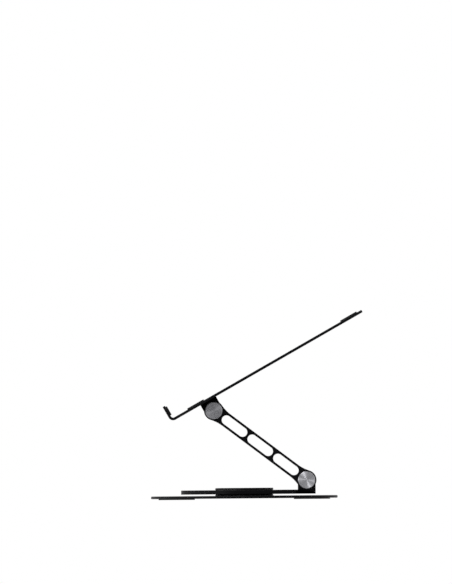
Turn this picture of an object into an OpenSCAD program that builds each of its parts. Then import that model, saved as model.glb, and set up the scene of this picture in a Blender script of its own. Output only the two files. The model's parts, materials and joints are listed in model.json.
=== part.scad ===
// Folding laptop stand: a round foot, a turntable, two slotted arms and a
// sheet-metal tray with two front lips. Every pivot is a friction hinge.
//
// X runs to the user's right, Y to the rear and Z up. The origin lies on the
// swivel axis, level with the surface that the stand is placed on.

/* [Foot] */
// Diameter of the round foot plate
foot_d = 192.2; // [180:0.2:230]
// Thickness of the foot plate
foot_t = 2.8; // [2.3:0.05:5]
// Rounding along both edges of the foot plate's rim
foot_rim_r = 1; // [0.3:0.1:1.1]
// Thickness of the rubber pads under the foot plate
sole_t = 1; // [0.5:0.1:3]
// Distance from the foot plate's rim to its pads
sole_inset = 7.2; // [4:0.2:12]
// Width of a foot pad, across its arc
sole_w = 10.6; // [6:0.2:16]
// Angle that each foot pad spans
sole_arc = 45; // [20:1:60]
// Angle from the front or rear centreline to the near end of a foot pad
sole_start = 5; // [3:1:20]

/* [Turntable] */
// Diameter of the turntable's discs
hub_d = 60; // [50:0.2:70]
// Thickness of the spindle's flange, which lies on the foot plate
flange_t = 1.1; // [0.9:0.1:3]
// Thickness of the disc on top of the turntable
hub_cap_t = 1.8; // [1.4:0.1:3]
// Chamfer around the top disc
hub_chamfer = 0.7; // [0.2:0.1:0.9]
// Diameter of the spindle that the frame turns on
spindle_d = 24; // [22:0.5:30]
// Thickness of the thrust washer under the frame
lower_thrust_t = 0.5; // [0.3:0.1:1]
// Thickness of the thrust washer on top of the frame
upper_thrust_t = 0.4; // [0.3:0.1:1]
// Distance that the thrust washers stay inside the discs' edge
thrust_inset = 0.5; // [0.3:0.1:2]

/* [Turntable screws] */
// Number of screws through the foot plate, and again through the top disc
hub_screw_n = 4; // [3:1:5]
// Radius of the ring that both sets of screws lie on
hub_screw_ring = 7.6; // [7:0.1:8]
// Diameter of the screws through the foot plate
foot_screw_d = 4; // [3:0.1:4.2]
// Head diameter of the screws through the foot plate
foot_screw_head_d = 7.4; // [6:0.1:8]
// Depth that the foot plate's screws reach into the spindle
foot_screw_reach = 5; // [3:0.1:5.5]
// Diameter of the screws through the top disc
cap_screw_d = 3; // [2.5:0.1:3.2]
// Head diameter of the screws through the top disc
cap_screw_head_d = 5.4; // [4.5:0.1:5.6]
// Depth that the top disc's screws reach into the spindle
cap_screw_reach = 4.5; // [3:0.1:5]

/* [Frame] */
// Width of the frame plate, whose front end is a half circle
frame_w = 130.2; // [115:0.2:150]
// Thickness of the frame plate
frame_t = 4.3; // [3:0.1:5]
// Distance from the swivel axis to the frame's rear edge
frame_rear = 73.5; // [68:0.1:85]
// Width of the ears that are bent up from the frame
ear_w = 18.3; // [16:0.1:19]
// Inside radius of the bend below each ear
ear_bend_r = 2; // [1:0.1:3]
// Width of the relief slit in front of each ear
ear_relief = 1.5; // [1:0.1:3]
// Height of the lower pivots above the frame plate
pivot_rise = 9.85; // [9.5:0.05:14]

/* [Arms] */
// Length of the arms, from pivot to pivot
arm_l = 119.4; // [100:0.2:125]
// Angle of the arms above the horizontal in the pose shown
arm_angle = 37.2; // [30:0.1:50]
// Width of the arms between their end rings
arm_w = 14.6; // [13:0.1:16]
// Thickness of the arms
arm_t = 3; // [2:0.1:4]
// Diameter of the arms' end rings
ring_d = 20.2; // [19:0.1:20.5]
// Radius of the flare from each end ring into the arm's edges
flare_r = 40; // [20:1:80]
// Number of slots along an arm
slot_n = 3; // [2:1:5]
// Width of the slots along an arm
slot_w = 9.7; // [8:0.1:11]
// Web between two neighbouring slots
slot_web = 2.6; // [1.5:0.1:4]
// Distance from a pivot to the nearest slot
slot_land = 11.5; // [9:0.1:14]

/* [Pivots] */
// Diameter of the pivot bolts
bolt_d = 8; // [6:0.1:9]
// Head diameter of the pivot bolts
bolt_head_d = 13; // [11:0.1:14]
// Head height of the pivot bolts
bolt_head_t = 3; // [2:0.1:4]
// Length of bolt that stands out past its nut
bolt_over = 1.2; // [0.5:0.1:3]
// Chamfer at the end of a bolt
bolt_chamfer = 0.8; // [0.3:0.1:1]
// Diameter of the round caps over the bolt heads
cap_d = 17.7; // [16.5:0.1:18.5]
// Thickness of the caps
cap_t = 5.5; // [5:0.1:8]
// Chamfer around the caps' outer faces
cap_chamfer = 0.5; // [0.2:0.1:1]
// Diameter of the friction washers beside the arms
washer_d = 16; // [14:0.1:17]
// Thickness of the friction washers
washer_t = 0.8; // [0.5:0.1:1.5]
// Diameter of the disc springs under the nuts
spring_d = 15; // [14:0.1:17]
// Sheet thickness of the disc springs
spring_t = 0.8; // [0.5:0.1:1.1]
// Free height of the disc springs
spring_h = 1.3; // [1.2:0.1:1.6]
// Size of the nuts across their flats
nut_flats = 13; // [12:0.1:14]
// Thickness of the nuts
nut_t = 6; // [4:0.1:7]

/* [Tray] */
// Angle of the tray above the horizontal in the pose shown
tray_angle = 29.4; // [20:0.1:32]
// Width of the tray
tray_w = 250; // [220:1:280]
// Thickness of the tray's sheet
tray_t = 2.8; // [2.1:0.05:3.5]
// Distance from the upper pivots to the front face of the lips, along the tray
tray_front = 43.9; // [38:0.1:50]
// Distance from the upper pivots to the tray's rear edge, along the tray
tray_rear = 183.6; // [170:0.2:200]
// Distance from the upper pivots to the tray's underside
tray_drop = 11.5; // [11:0.1:15]
// Radius of the tray's rear corners
tray_corner_r = 12; // [4:0.5:25]
// Radius of the tray's front corners
front_corner_r = 8; // [3:0.5:12]
// Distance that the tray's front edge lies behind the face of the lips
front_setback = 10.7; // [8:0.1:16]

/* [Lips] */
// Width of each lip
lip_w = 46; // [35:0.5:60]
// Distance from the tray's side edges to the lips
lip_side_margin = 22; // [15:0.5:35]
// Height of the lips above the tray's underside
lip_h = 17.9; // [15:0.1:24]
// Inside radius of the bend between tray and lip
lip_bend_r = 2.4; // [1.5:0.05:4]
// Radius of the lips' upper corners
lip_corner_r = 5; // [2:0.1:8]

/* [Vents] */
// Number of ventilation slots in the tray
vent_n = 7; // [3:1:9]
// Width of a ventilation slot
vent_w = 12; // [8:0.2:14]
// Spacing of the ventilation slots
vent_pitch = 22; // [18:0.2:24]
// Distance from the upper pivots to the front of the slots, along the tray
vent_front = 28; // [22:0.5:40]
// Distance from the tray's rear edge to the slots
vent_margin = 40; // [30:0.5:60]

/* [Brackets] */
// Width of the tray's two pivot brackets
bracket_w = 18.5; // [17:0.1:19]
// Thickness of the brackets
bracket_t = 3; // [2.4:0.1:4]
// Length of the bracket's foot under the tray, from its outer face
bracket_foot = 24; // [20:0.2:30]
// Inside radius of the bracket's bend
bracket_bend_r = 0.8; // [0.5:0.1:3]
// Diameter of the screws that hold the brackets
bracket_screw_d = 4; // [3:0.1:4.5]
// Head diameter of the screws that hold the brackets
bracket_screw_head_d = 7.4; // [6:0.1:8]
// Distance between the two screws of a bracket
bracket_screw_gap = 9; // [8.5:0.1:10]
// Distance from the foot's inner end to its screws
bracket_screw_edge = 7; // [5:0.1:9]

/* [Rubber pads] */
// Length of the pads on the tray, across it
pad_l = 48; // [30:0.5:60]
// Width of the pads on the tray, along it
pad_w = 19.4; // [12:0.1:22]
// Thickness of the pads on the tray
pad_t = 1.2; // [0.8:0.1:3]
// Distance from the tray's side edges to the pads
pad_side_margin = 9; // [3:0.5:12]
// Distance from the upper pivots forward to the middle of the front pads
front_pad_reach = 13.1; // [8:0.1:18]
// Distance from the tray's rear edge to the rear pads
rear_pad_margin = 5.4; // [3:0.1:12]
// Thickness of the pads on the lips
lip_pad_t = 1.5; // [0.6:0.1:2]
// Height of the pads on the lips
lip_pad_h = 10; // [5:0.1:11]
// Distance from the lips' upper and side edges to their pads
lip_pad_edge = 1.4; // [0.8:0.1:3]

/* [Clearances] */
// Radial clearance of a turning fit
run_clear = 0.05; // [0.02:0.01:0.09]
// Radial clearance of a screw, a bolt or a cap on its seat
seat_clear = 0.02; // [0.01:0.01:0.05]
// Radial clearance inside the washers and disc springs
washer_clear = 0.2; // [0.1:0.05:0.3]
// Gap between a disc spring's rim and the sheet that it presses on
spring_gap = 0.1; // [0.05:0.01:0.15]

/* [Hidden] */
$fn = 96;
// Overlap of a cutting tool past the face that it cuts
cut = 1;
// Depth that a flare's arc sinks into the outlines that it joins
flare_lap = 0.06;

// Heights of the turntable's faces
foot_top = sole_t + foot_t;
flange_top = foot_top + flange_t;
frame_bottom = flange_top + lower_thrust_t;
frame_top = frame_bottom + frame_t;
upper_thrust_top = frame_top + upper_thrust_t;
hub_top = upper_thrust_top + hub_cap_t;
thrust_d = hub_d - 2 * thrust_inset;

// Faces across the stand: the ears' and brackets' outer faces, then the arms
half_frame = frame_w / 2;
arm_in = half_frame + washer_t;
arm_out = arm_in + arm_t;

// Pivot positions
lower_y = frame_rear - ear_w / 2;
lower_z = frame_top + pivot_rise;
upper_y = lower_y - arm_l * cos(arm_angle);
upper_z = lower_z + arm_l * sin(arm_angle);

// What each pivot bolt clamps, from its head to the disc spring
lower_grip = arm_t + washer_t + frame_t;
upper_grip = arm_t + washer_t + bracket_t;

// The cap screws sit midway between the foot screws
cap_phase = 45;
foot_phase = cap_phase + 180 / hub_screw_n;

ear_bend_out = ear_bend_r + frame_t;
lip_bend_out = lip_bend_r + tray_t;
bracket_bend_out = bracket_bend_r + bracket_t;
front_edge = -tray_front + front_setback;
lip_x = tray_w / 2 - lip_side_margin - lip_w / 2;
pad_x = tray_w / 2 - pad_side_margin - pad_l / 2;
bracket_screw_x = half_frame - bracket_foot + bracket_screw_edge;
slot_l = (arm_l - 2 * slot_land - (slot_n - 1) * slot_web) / slot_n;
rear_pad_y = tray_rear - rear_pad_margin - pad_w / 2;

// Colours
steel_black = [0.1, 0.1, 0.105];
rubber_black = [0.05, 0.05, 0.05];
nylon_black = [0.13, 0.13, 0.13];
oxide_black = [0.16, 0.16, 0.17];
spring_grey = [0.5, 0.5, 0.52];
spun_metal = [0.74, 0.74, 0.75];

// ---- Placing ----

module left() { mirror([1, 0, 0]) children(); }

// Puts a shape drawn along +Z onto the +X axis
module along_x() { rotate([0, 90, 0]) children(); }

module at_lower_pivot() { translate([0, lower_y, lower_z]) children(); }

module at_upper_pivot() { translate([0, upper_y, upper_z]) children(); }

// The tray's own frame: Y to its rear edge, Z up, and Z = 0 at its underside
module on_tray() {
    at_upper_pivot() rotate([tray_angle, 0, 0]) translate([0, 0, tray_drop]) children();
}

// ---- Shared shapes ----

// A slot or pad outline with full round ends, along X about the origin
module stadium(l, w) {
    square([l - w, w], center = true);
    for (side = [-1, 1]) translate([side * (l - w) / 2, 0]) circle(d = w);
}

// A rectangle from the origin, with its two far corners (along +Y) rounded
module round_top(w, h, r) {
    translate([-w / 2, 0]) square([w, h - r]);
    translate([-w / 2 + r, 0]) square([w - 2 * r, h]);
    for (side = [-1, 1]) translate([side * (w / 2 - r), h - r]) circle(r = r);
}

// A quarter of a bent sheet's ring, in the quadrant of +X and -Y
module bend(r_in, t) {
    difference() {
        intersection() {
            circle(r = r_in + t);
            translate([0, -r_in - t]) square(r_in + t);
        }
        circle(r = r_in);
    }
}

// A countersunk screw or its hole: the head's face is at Z = 0, the shank goes down
module countersunk(d, head_d, l, gap = 0) {
    head_t = (head_d - d) / 2;
    translate([0, 0, -l]) cylinder(d = d + 2 * gap, h = l);
    translate([0, 0, -head_t]) cylinder(d1 = d + 2 * gap, d2 = head_d + 2 * gap, h = head_t);
    if (gap > 0) cylinder(d = head_d + 2 * gap, h = cut);
}

// A hexagon socket in a screw's head, for cutting
module socket(d) {
    depth = 0.3 * d;
    across_corners = 0.58 * d;
    translate([0, 0, -depth]) cylinder(d = across_corners, h = depth + cut, $fn = 6);
}

module washer(d, t, bore_d) {
    difference() {
        cylinder(d = d, h = t);
        translate([0, 0, -cut]) cylinder(d = bore_d, h = t + 2 * cut);
    }
}

// Places children at each screw of the turntable, turned on by a phase angle
module hub_ring(phase) {
    for (i = [0:hub_screw_n - 1])
        rotate([0, 0, phase + i * 360 / hub_screw_n]) translate([hub_screw_ring, 0, 0]) children();
}

// ---- Foot and turntable ----

module foot_plate() {
    color(steel_black) difference() {
        translate([0, 0, sole_t]) rotate_extrude() {
            square([foot_d / 2 - foot_rim_r, foot_t]);
            translate([0, foot_rim_r]) square([foot_d / 2, foot_t - 2 * foot_rim_r]);
            for (z = [foot_rim_r, foot_t - foot_rim_r])
                translate([foot_d / 2 - foot_rim_r, z]) circle(r = foot_rim_r);
        }
        hub_ring(foot_phase) translate([0, 0, sole_t]) mirror([0, 0, 1])
            countersunk(foot_screw_d, foot_screw_head_d, foot_t + cut, seat_clear);
    }
}

// A foot pad in the quadrant of +X and +Y
module foot_pad() {
    color(rubber_black) rotate([0, 0, 90 - sole_start - sole_arc])
        rotate_extrude(angle = sole_arc)
            translate([foot_d / 2 - sole_inset - sole_w, 0]) square([sole_w, sole_t]);
}

module foot_pad_rear_right() { foot_pad(); }
module foot_pad_rear_left() { left() foot_pad(); }
module foot_pad_front_right() { mirror([0, 1, 0]) foot_pad(); }
module foot_pad_front_left() { left() mirror([0, 1, 0]) foot_pad(); }

module spindle() {
    color(oxide_black) difference() {
        union() {
            translate([0, 0, foot_top]) cylinder(d = hub_d, h = flange_t);
            translate([0, 0, foot_top]) cylinder(d = spindle_d, h = upper_thrust_top - foot_top);
        }
        hub_ring(foot_phase) translate([0, 0, foot_top - cut])
            cylinder(d = foot_screw_d + 2 * seat_clear, h = foot_screw_reach + cut);
        hub_ring(cap_phase) translate([0, 0, upper_thrust_top - cap_screw_reach])
            cylinder(d = cap_screw_d + 2 * seat_clear, h = cap_screw_reach + cut);
    }
}

module foot_screws() {
    color(oxide_black) hub_ring(foot_phase) translate([0, 0, sole_t]) mirror([0, 0, 1])
        difference() {
            countersunk(foot_screw_d, foot_screw_head_d, foot_t + foot_screw_reach);
            socket(foot_screw_d);
        }
}

module lower_thrust_washer() {
    color(nylon_black) translate([0, 0, flange_top])
        washer(thrust_d, lower_thrust_t, spindle_d + 2 * washer_clear);
}

module upper_thrust_washer() {
    color(nylon_black) translate([0, 0, frame_top])
        washer(thrust_d, upper_thrust_t, spindle_d + 2 * washer_clear);
}

module hub_cap() {
    color(steel_black) difference() {
        translate([0, 0, upper_thrust_top]) union() {
            cylinder(d = hub_d, h = hub_cap_t - hub_chamfer);
            translate([0, 0, hub_cap_t - hub_chamfer])
                cylinder(d1 = hub_d, d2 = hub_d - 2 * hub_chamfer, h = hub_chamfer);
        }
        hub_ring(cap_phase) translate([0, 0, hub_top])
            countersunk(cap_screw_d, cap_screw_head_d, hub_cap_t + cut, seat_clear);
    }
}

module hub_cap_screws() {
    color(oxide_black) hub_ring(cap_phase) translate([0, 0, hub_top]) difference() {
        countersunk(cap_screw_d, cap_screw_head_d, hub_cap_t + cap_screw_reach);
        socket(cap_screw_d);
    }
}

// ---- Frame ----

// The flat plate's outline: a half circle in front and a square rear end,
// narrower beside the ears, where the sheet turns up
module frame_outline() {
    circle(d = frame_w);
    translate([-half_frame, 0]) square([frame_w, frame_rear - ear_w - ear_relief]);
    translate([-half_frame + ear_bend_out, 0])
        square([frame_w - 2 * ear_bend_out, frame_rear]);
}

module frame_ear() {
    translate([0, frame_rear, frame_bottom]) rotate([90, 0, 0]) linear_extrude(ear_w) {
        translate([half_frame - ear_bend_out, ear_bend_out]) bend(ear_bend_r, frame_t);
        translate([half_frame - frame_t, ear_bend_out])
            square([frame_t, lower_z - frame_bottom - ear_bend_out]);
    }
    at_lower_pivot() translate([half_frame - frame_t, 0, 0]) along_x()
        cylinder(d = ear_w, h = frame_t);
}

module frame_plate() {
    color(steel_black) difference() {
        union() {
            translate([0, 0, frame_bottom]) linear_extrude(frame_t) frame_outline();
            frame_ear();
            left() frame_ear();
        }
        translate([0, 0, frame_bottom - cut])
            cylinder(d = spindle_d + 2 * run_clear, h = frame_t + 2 * cut);
        at_lower_pivot() translate([-half_frame - cut, 0, 0]) along_x()
            cylinder(d = bolt_d + 2 * seat_clear, h = frame_w + 2 * cut);
    }
}

// ---- Arms ----

// One side of the flare from an end ring into the arm, next to the lower pivot.
// Its arc sinks a little into the ring and the arm, so that the outlines cross.
module arm_flare() {
    across = arm_w / 2 + flare_r - flare_lap;
    reach = ring_d / 2 + flare_r - flare_lap;
    along = sqrt(reach * reach - across * across);
    start = along * (ring_d / 2) / reach;
    difference() {
        translate([start, 0]) square([along - start, across * (ring_d / 2) / reach]);
        translate([along, across]) circle(r = flare_r, $fn = 360);
    }
}

module arm_outline() {
    translate([0, -arm_w / 2]) square([arm_l, arm_w]);
    for (end = [0, 1]) translate([end * arm_l, 0]) mirror([end, 0]) {
        circle(d = ring_d);
        arm_flare();
        mirror([0, 1]) arm_flare();
    }
}

// The right arm, drawn from its lower pivot along +X and then stood on edge
module arm() {
    color(steel_black) at_lower_pivot() translate([arm_in, 0, 0])
        rotate([-arm_angle, 0, 0]) rotate([0, 90, 0]) rotate([0, 0, -90]) difference() {
            linear_extrude(arm_t) arm_outline();
            for (i = [0:slot_n - 1])
                translate([slot_land + slot_l / 2 + i * (slot_l + slot_web), 0, -cut])
                    linear_extrude(arm_t + 2 * cut) stadium(slot_l, slot_w);
            for (x = [0, arm_l]) translate([x, 0, -cut])
                cylinder(d = bolt_d + 2 * run_clear, h = arm_t + 2 * cut);
        }
}

module arm_right() { arm(); }
module arm_left() { left() arm(); }

// ---- Pivot hardware, drawn on the +X axis of its pivot ----

// The bolt's head lies against the arm, and its shank runs inwards
module pivot_bolt(grip) {
    shank = grip + spring_gap + spring_h + nut_t + bolt_over;
    color(oxide_black) translate([arm_out, 0, 0]) along_x() {
        cylinder(d = bolt_head_d, h = bolt_head_t);
        translate([0, 0, -shank + bolt_chamfer]) cylinder(d = bolt_d, h = shank - bolt_chamfer);
        translate([0, 0, -shank])
            cylinder(d1 = bolt_d - 2 * bolt_chamfer, d2 = bolt_d, h = bolt_chamfer);
    }
}

module pivot_cap() {
    color(spun_metal) translate([arm_out, 0, 0]) along_x() difference() {
        union() {
            cylinder(d = cap_d, h = cap_t - cap_chamfer);
            translate([0, 0, cap_t - cap_chamfer])
                cylinder(d1 = cap_d, d2 = cap_d - 2 * cap_chamfer, h = cap_chamfer);
        }
        translate([0, 0, -cut]) cylinder(d = bolt_head_d + 2 * seat_clear, h = bolt_head_t + cut);
    }
}

module pivot_washer() {
    color(nylon_black) translate([half_frame, 0, 0]) along_x()
        washer(washer_d, washer_t, bolt_d + 2 * washer_clear);
}

// The disc spring's rim bears on the sheet and its bore on the nut
module pivot_spring(sheet_t) {
    bore_r = bolt_d / 2 + washer_clear;
    color(spring_grey) translate([half_frame - sheet_t - spring_gap, 0, 0])
        rotate([0, -90, 0]) rotate_extrude() polygon([
            [spring_d / 2, 0], [spring_d / 2, spring_t],
            [bore_r, spring_h], [bore_r, spring_h - spring_t]
        ]);
}

module pivot_nut(sheet_t) {
    color(oxide_black) translate([half_frame - sheet_t - spring_gap - spring_h, 0, 0])
        rotate([0, -90, 0]) difference() {
            rotate([0, 0, 30]) cylinder(d = nut_flats / cos(30), h = nut_t, $fn = 6);
            translate([0, 0, -cut]) cylinder(d = bolt_d + 2 * seat_clear, h = nut_t + 2 * cut);
        }
}

module lower_bolt_right() { at_lower_pivot() pivot_bolt(lower_grip); }
module lower_bolt_left() { left() lower_bolt_right(); }
module lower_cap_right() { at_lower_pivot() pivot_cap(); }
module lower_cap_left() { left() lower_cap_right(); }
module lower_washer_right() { at_lower_pivot() pivot_washer(); }
module lower_washer_left() { left() lower_washer_right(); }
module lower_spring_right() { at_lower_pivot() pivot_spring(frame_t); }
module lower_spring_left() { left() lower_spring_right(); }
module lower_nut_right() { at_lower_pivot() pivot_nut(frame_t); }
module lower_nut_left() { left() lower_nut_right(); }

module upper_bolt_right() { at_upper_pivot() pivot_bolt(upper_grip); }
module upper_bolt_left() { left() upper_bolt_right(); }
module upper_cap_right() { at_upper_pivot() pivot_cap(); }
module upper_cap_left() { left() upper_cap_right(); }
module upper_washer_right() { at_upper_pivot() pivot_washer(); }
module upper_washer_left() { left() upper_washer_right(); }
module upper_spring_right() { at_upper_pivot() pivot_spring(bracket_t); }
module upper_spring_left() { left() upper_spring_right(); }
module upper_nut_right() { at_upper_pivot() pivot_nut(bracket_t); }
module upper_nut_left() { left() upper_nut_right(); }

// ---- Tray and its brackets ----

// Places children at the face of each bracket screw, on the tray's top
module at_bracket_screws() {
    for (x = [-1, 1], y = [-1, 1])
        translate([x * bracket_screw_x, y * bracket_screw_gap / 2, tray_t]) children();
}

module bracket() {
    color(steel_black) on_tray() difference() {
        union() {
            translate([0, bracket_w / 2, 0]) rotate([90, 0, 0]) linear_extrude(bracket_w) {
                translate([half_frame - bracket_bend_out, -bracket_bend_out])
                    mirror([0, 1]) bend(bracket_bend_r, bracket_t);
                translate([half_frame - bracket_foot, -bracket_t])
                    square([bracket_foot - bracket_bend_out, bracket_t]);
                translate([half_frame - bracket_t, -tray_drop])
                    square([bracket_t, tray_drop - bracket_bend_out]);
            }
            translate([half_frame - bracket_t, 0, -tray_drop]) along_x()
                cylinder(d = bracket_w, h = bracket_t);
        }
        translate([half_frame - bracket_t - cut, 0, -tray_drop]) along_x()
            cylinder(d = bolt_d + 2 * run_clear, h = bracket_t + 2 * cut);
        for (y = [-1, 1])
            translate([bracket_screw_x, y * bracket_screw_gap / 2, -bracket_t - cut])
                cylinder(d = bracket_screw_d + 2 * seat_clear, h = bracket_t + 2 * cut);
    }
}

module bracket_right() { bracket(); }
module bracket_left() { left() bracket(); }

module bracket_screws() {
    color(oxide_black) on_tray() at_bracket_screws() difference() {
        countersunk(bracket_screw_d, bracket_screw_head_d, tray_t + bracket_t);
        socket(bracket_screw_d);
    }
}

// The flat sheet's outline, with the strips that run on into the lips
module tray_outline() {
    depth = tray_rear - front_edge;
    translate([0, front_edge + depth / 2]) {
        round_top(tray_w, depth / 2, tray_corner_r);
        mirror([0, 1]) round_top(tray_w, depth / 2, front_corner_r);
    }
    for (side = [-1, 1]) translate([side * lip_x - lip_w / 2, -tray_front + lip_bend_out])
        square([lip_w, front_setback]);
}

// One lip about X = 0: the bend, and the upright with its round corners
module lip() {
    translate([-lip_w / 2, -tray_front + lip_bend_out, lip_bend_out]) rotate([0, 90, 0])
        rotate([0, 0, 90]) linear_extrude(lip_w) mirror([1, 0]) bend(lip_bend_r, tray_t);
    translate([0, -tray_front + tray_t, lip_bend_out]) rotate([90, 0, 0])
        linear_extrude(tray_t) round_top(lip_w, lip_h - lip_bend_out, lip_corner_r);
}

module tray_plate() {
    vent_l = tray_rear - vent_margin - vent_front;
    color(steel_black) on_tray() difference() {
        union() {
            linear_extrude(tray_t) tray_outline();
            for (side = [-1, 1]) translate([side * lip_x, 0, 0]) lip();
        }
        for (i = [0:vent_n - 1])
            translate([(i - (vent_n - 1) / 2) * vent_pitch, vent_front + vent_l / 2, -cut])
                linear_extrude(tray_t + 2 * cut) rotate([0, 0, 90]) stadium(vent_l, vent_w);
        at_bracket_screws()
            countersunk(bracket_screw_d, bracket_screw_head_d, tray_t + cut, seat_clear);
    }
}

// ---- Rubber pads on the tray ----

module tray_pad(y) {
    color(rubber_black) on_tray() translate([pad_x, y, tray_t])
        linear_extrude(pad_t) stadium(pad_l, pad_w);
}

module tray_pad_front_right() { tray_pad(-front_pad_reach); }
module tray_pad_front_left() { left() tray_pad_front_right(); }
module tray_pad_rear_right() { tray_pad(rear_pad_y); }
module tray_pad_rear_left() { left() tray_pad_rear_right(); }

module lip_pad() {
    color(rubber_black) on_tray()
        translate([lip_x, -tray_front + tray_t + lip_pad_t, lip_h - lip_pad_edge - lip_pad_h / 2])
            rotate([90, 0, 0]) linear_extrude(lip_pad_t)
                stadium(lip_w - 2 * lip_pad_edge, lip_pad_h);
}

module lip_pad_right() { lip_pad(); }
module lip_pad_left() { left() lip_pad(); }

// ---- Output ----

foot_plate();
foot_pad_front_left();
foot_pad_front_right();
foot_pad_rear_left();
foot_pad_rear_right();
spindle();
foot_screws();
lower_thrust_washer();
frame_plate();
upper_thrust_washer();
hub_cap();
hub_cap_screws();
lower_bolt_left();
lower_bolt_right();
lower_cap_left();
lower_cap_right();
lower_washer_left();
lower_washer_right();
lower_spring_left();
lower_spring_right();
lower_nut_left();
lower_nut_right();
arm_left();
arm_right();
upper_bolt_left();
upper_bolt_right();
upper_cap_left();
upper_cap_right();
upper_washer_left();
upper_washer_right();
upper_spring_left();
upper_spring_right();
upper_nut_left();
upper_nut_right();
bracket_left();
bracket_right();
bracket_screws();
tray_plate();
tray_pad_front_left();
tray_pad_front_right();
tray_pad_rear_left();
tray_pad_rear_right();
lip_pad_left();
lip_pad_right();
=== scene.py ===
import json
import math

import bmesh
import bpy
from mathutils import Matrix, Quaternion, Vector


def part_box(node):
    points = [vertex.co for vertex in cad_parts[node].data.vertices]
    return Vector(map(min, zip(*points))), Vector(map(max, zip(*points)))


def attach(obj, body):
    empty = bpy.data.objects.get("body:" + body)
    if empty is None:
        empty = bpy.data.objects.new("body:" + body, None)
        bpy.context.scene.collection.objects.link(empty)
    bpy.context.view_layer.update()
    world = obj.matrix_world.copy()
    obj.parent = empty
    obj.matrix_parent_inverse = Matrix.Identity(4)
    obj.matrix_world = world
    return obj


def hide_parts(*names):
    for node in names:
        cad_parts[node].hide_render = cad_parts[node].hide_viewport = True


# The looks of the folding laptop stand, around its CAD model. Everything is in metres:
# X runs to the user's right, Y to the rear and Z up, with the origin under the swivel axis.
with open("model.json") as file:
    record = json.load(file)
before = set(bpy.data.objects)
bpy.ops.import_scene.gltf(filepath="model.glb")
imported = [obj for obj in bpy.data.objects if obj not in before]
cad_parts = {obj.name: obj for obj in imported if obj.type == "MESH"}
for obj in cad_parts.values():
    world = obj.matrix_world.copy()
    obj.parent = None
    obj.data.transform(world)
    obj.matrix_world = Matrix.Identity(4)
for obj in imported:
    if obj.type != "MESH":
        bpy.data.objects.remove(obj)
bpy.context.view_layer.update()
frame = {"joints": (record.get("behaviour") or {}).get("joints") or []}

MM = 0.001
RIGHT = Vector((1, 0, 0))
REAR = Vector((0, 1, 0))
UP = Vector((0, 0, 1))

# Places of the joints, and the corners and size of a CAD node's box
joint_at = {joint["name"]: Vector(joint["pos_m"]) for joint in frame["joints"]}
LOWER = joint_at["arm_lift"]
UPPER = joint_at["tray_level"]


def low(node):
    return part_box(node)[0]


def high(node):
    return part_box(node)[1]


def span(node):
    return high(node) - low(node)


# ---- Sizes ----

# Foot and turntable
FOOT_RIM_R = 1 * MM
SOLE_INSET = 7.2 * MM
SOLE_W = 10.6 * MM
SOLE_CORNER_R = 1.5 * MM
SOLE_START = 5  # degrees from the Y axis to the pad's end
SOLE_ARC = 45  # degrees that the pad covers
HUB_CHAMFER = 0.7 * MM
HUB_EDGE = 0.15 * MM
SPINDLE_D = 24 * MM
FLANGE_EDGE = 0.3 * MM
HUB_SCREW_N = 4
HUB_SCREW_RING = 7.6 * MM  # radius of the circle that the screws lie on
CAP_PHASE = 45  # degrees from the X axis to the first screw
FOOT_PHASE = CAP_PHASE + 180 / HUB_SCREW_N

# Frame
FRAME_T = low("upper_thrust_washer").z - low("frame_plate").z
HALF_FRAME = high("frame_plate").x
EAR_W = 18.3 * MM
EAR_BEND_R = 2 * MM
EAR_RELIEF = 1.5 * MM  # width of the slit that lets an ear bend
RELIEF_CORNER_R = 0.45 * EAR_RELIEF
FRAME_CORNER_R = 1 * MM

# Arms
ARM_W = 14.6 * MM
ARM_RING_D = 20.2 * MM
FLARE_R = 40 * MM
SLOT_N = 3
SLOT_W = 9.7 * MM
SLOT_WEB = 2.6 * MM
SLOT_LAND = 11.5 * MM

# Pivots
BOLT_D = 8 * MM
BOLT_HEAD_D = 13 * MM
BOLT_HEAD_T = 3 * MM
BOLT_HEAD_EDGE = 0.4 * MM
BOLT_CHAMFER = 0.8 * MM
THREAD_L = 9 * MM
THREAD_PITCH = 1.25 * MM
THREAD_DEPTH = 0.65 * MM
CAP_CHAMFER = 0.5 * MM
CAP_EDGE = 0.1 * MM
TOOL_MARK_PITCH = 0.5 * MM
TOOL_MARK_DEPTH = 0.006 * MM
SPRING_T = 0.8 * MM
NUT_FLATS = 13 * MM
NUT_SEAT_D = 0.96 * NUT_FLATS
NUT_CHAMFER = math.radians(30)
NUT_LEAD = 0.5 * MM

# Tray
TRAY_ANGLE = math.radians(29.4)
TRAY_DROP = 11.5 * MM
TRAY_T = 2.8 * MM
TRAY_FRONT = 43.9 * MM
TRAY_REAR = 183.6 * MM
TRAY_CORNER_R = 12 * MM
FRONT_CORNER_R = 8 * MM
FRONT_SETBACK = 10.7 * MM
HALF_TRAY = high("tray_plate").x
LIP_W = 46 * MM
LIP_SIDE_MARGIN = 22 * MM
LIP_H = 17.9 * MM
LIP_BEND_R = 2.4 * MM
LIP_CORNER_R = 5 * MM
LIP_NOOK_R = 1.5 * MM
VENT_N = 7
VENT_W = 12 * MM
VENT_PITCH = 22 * MM
VENT_FRONT = 28 * MM
VENT_MARGIN = 40 * MM
BRACKET_W = 18.5 * MM
BRACKET_T = 3 * MM
BRACKET_FOOT = 24 * MM
BRACKET_BEND_R = 0.8 * MM
BRACKET_CORNER_R = 2 * MM
BRACKET_SCREW_GAP = 9 * MM
BRACKET_SCREW_EDGE = 7 * MM

# Rubber pads on the tray
PAD_L = 48 * MM
PAD_W = 19.4 * MM
PAD_T = 1.2 * MM
PAD_SIDE_MARGIN = 9 * MM
FRONT_PAD_REACH = 13.1 * MM
REAR_PAD_MARGIN = 5.4 * MM
LIP_PAD_T = 1.5 * MM
LIP_PAD_H = 10 * MM
LIP_PAD_EDGE = 1.4 * MM

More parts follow.
